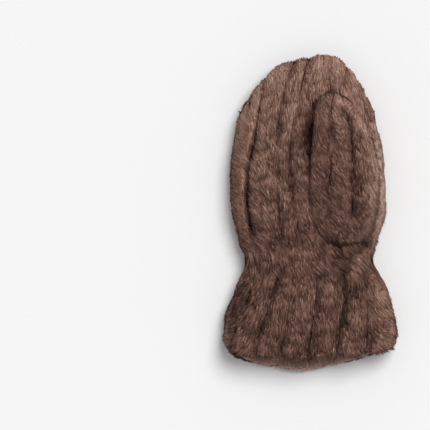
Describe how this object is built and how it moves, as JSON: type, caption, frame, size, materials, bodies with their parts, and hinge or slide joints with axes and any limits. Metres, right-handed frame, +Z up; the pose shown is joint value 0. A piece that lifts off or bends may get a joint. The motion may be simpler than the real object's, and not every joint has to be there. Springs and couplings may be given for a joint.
{
  "type": "fur mitten",
  "caption": "Fur mitten for the right hand, lying palm up, with a thumb on the palm, a drawn-in wrist and a flared cuff open at the hem.",
  "frame": {"origin": "on the surface that the mitten lies on, under its middle", "axes": "+X towards the thumb's side, +Y towards the fingertips, +Z up, out of the palm"},
  "size_m": [0.15, 0.2789, 0.057],
  "materials": {
    "fur": "dense soft brown fur with a slight sheen, darker in the grooves between its strips"
  },
  "bodies": {
    "root": {"palm_panel": "fur", "back_panel": "fur", "thumb": "fur", "cuff_palm": "fur", "cuff_back": "fur"}
  },
  "joints": []
}
